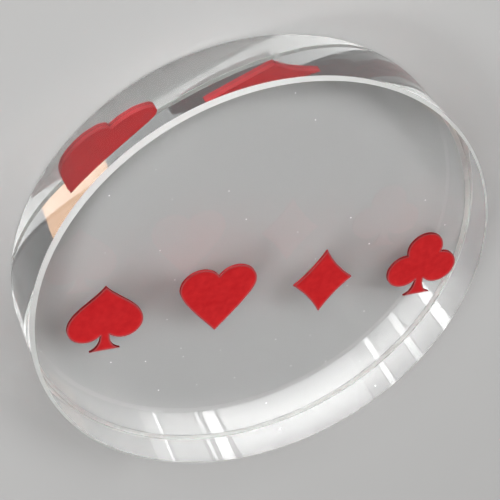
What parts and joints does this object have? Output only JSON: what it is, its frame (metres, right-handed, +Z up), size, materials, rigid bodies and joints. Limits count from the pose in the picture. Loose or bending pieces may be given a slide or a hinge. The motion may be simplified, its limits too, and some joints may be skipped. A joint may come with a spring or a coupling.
{
  "type": "dealer button",
  "caption": "Round clear acrylic table marker with chamfered rims and a row of card-suit pips engraved in its upper face and filled with red enamel.",
  "frame": {"origin": "middle of the underside, on the surface that the button rests on", "axes": "+Z up out of the engraved face, along the disc's axis; +X the way the row of pips reads; +Y the way the pips point"},
  "size_m": [0.0762, 0.0762, 0.0131],
  "materials": {
    "clear_acrylic": "polished",
    "red_enamel": "satin"
  },
  "bodies": {
    "root": {"acrylic_disc": "clear_acrylic", "spade_infill": "red_enamel", "heart_infill": "red_enamel", "diamond_infill": "red_enamel", "club_infill": "red_enamel"}
  },
  "joints": []
}
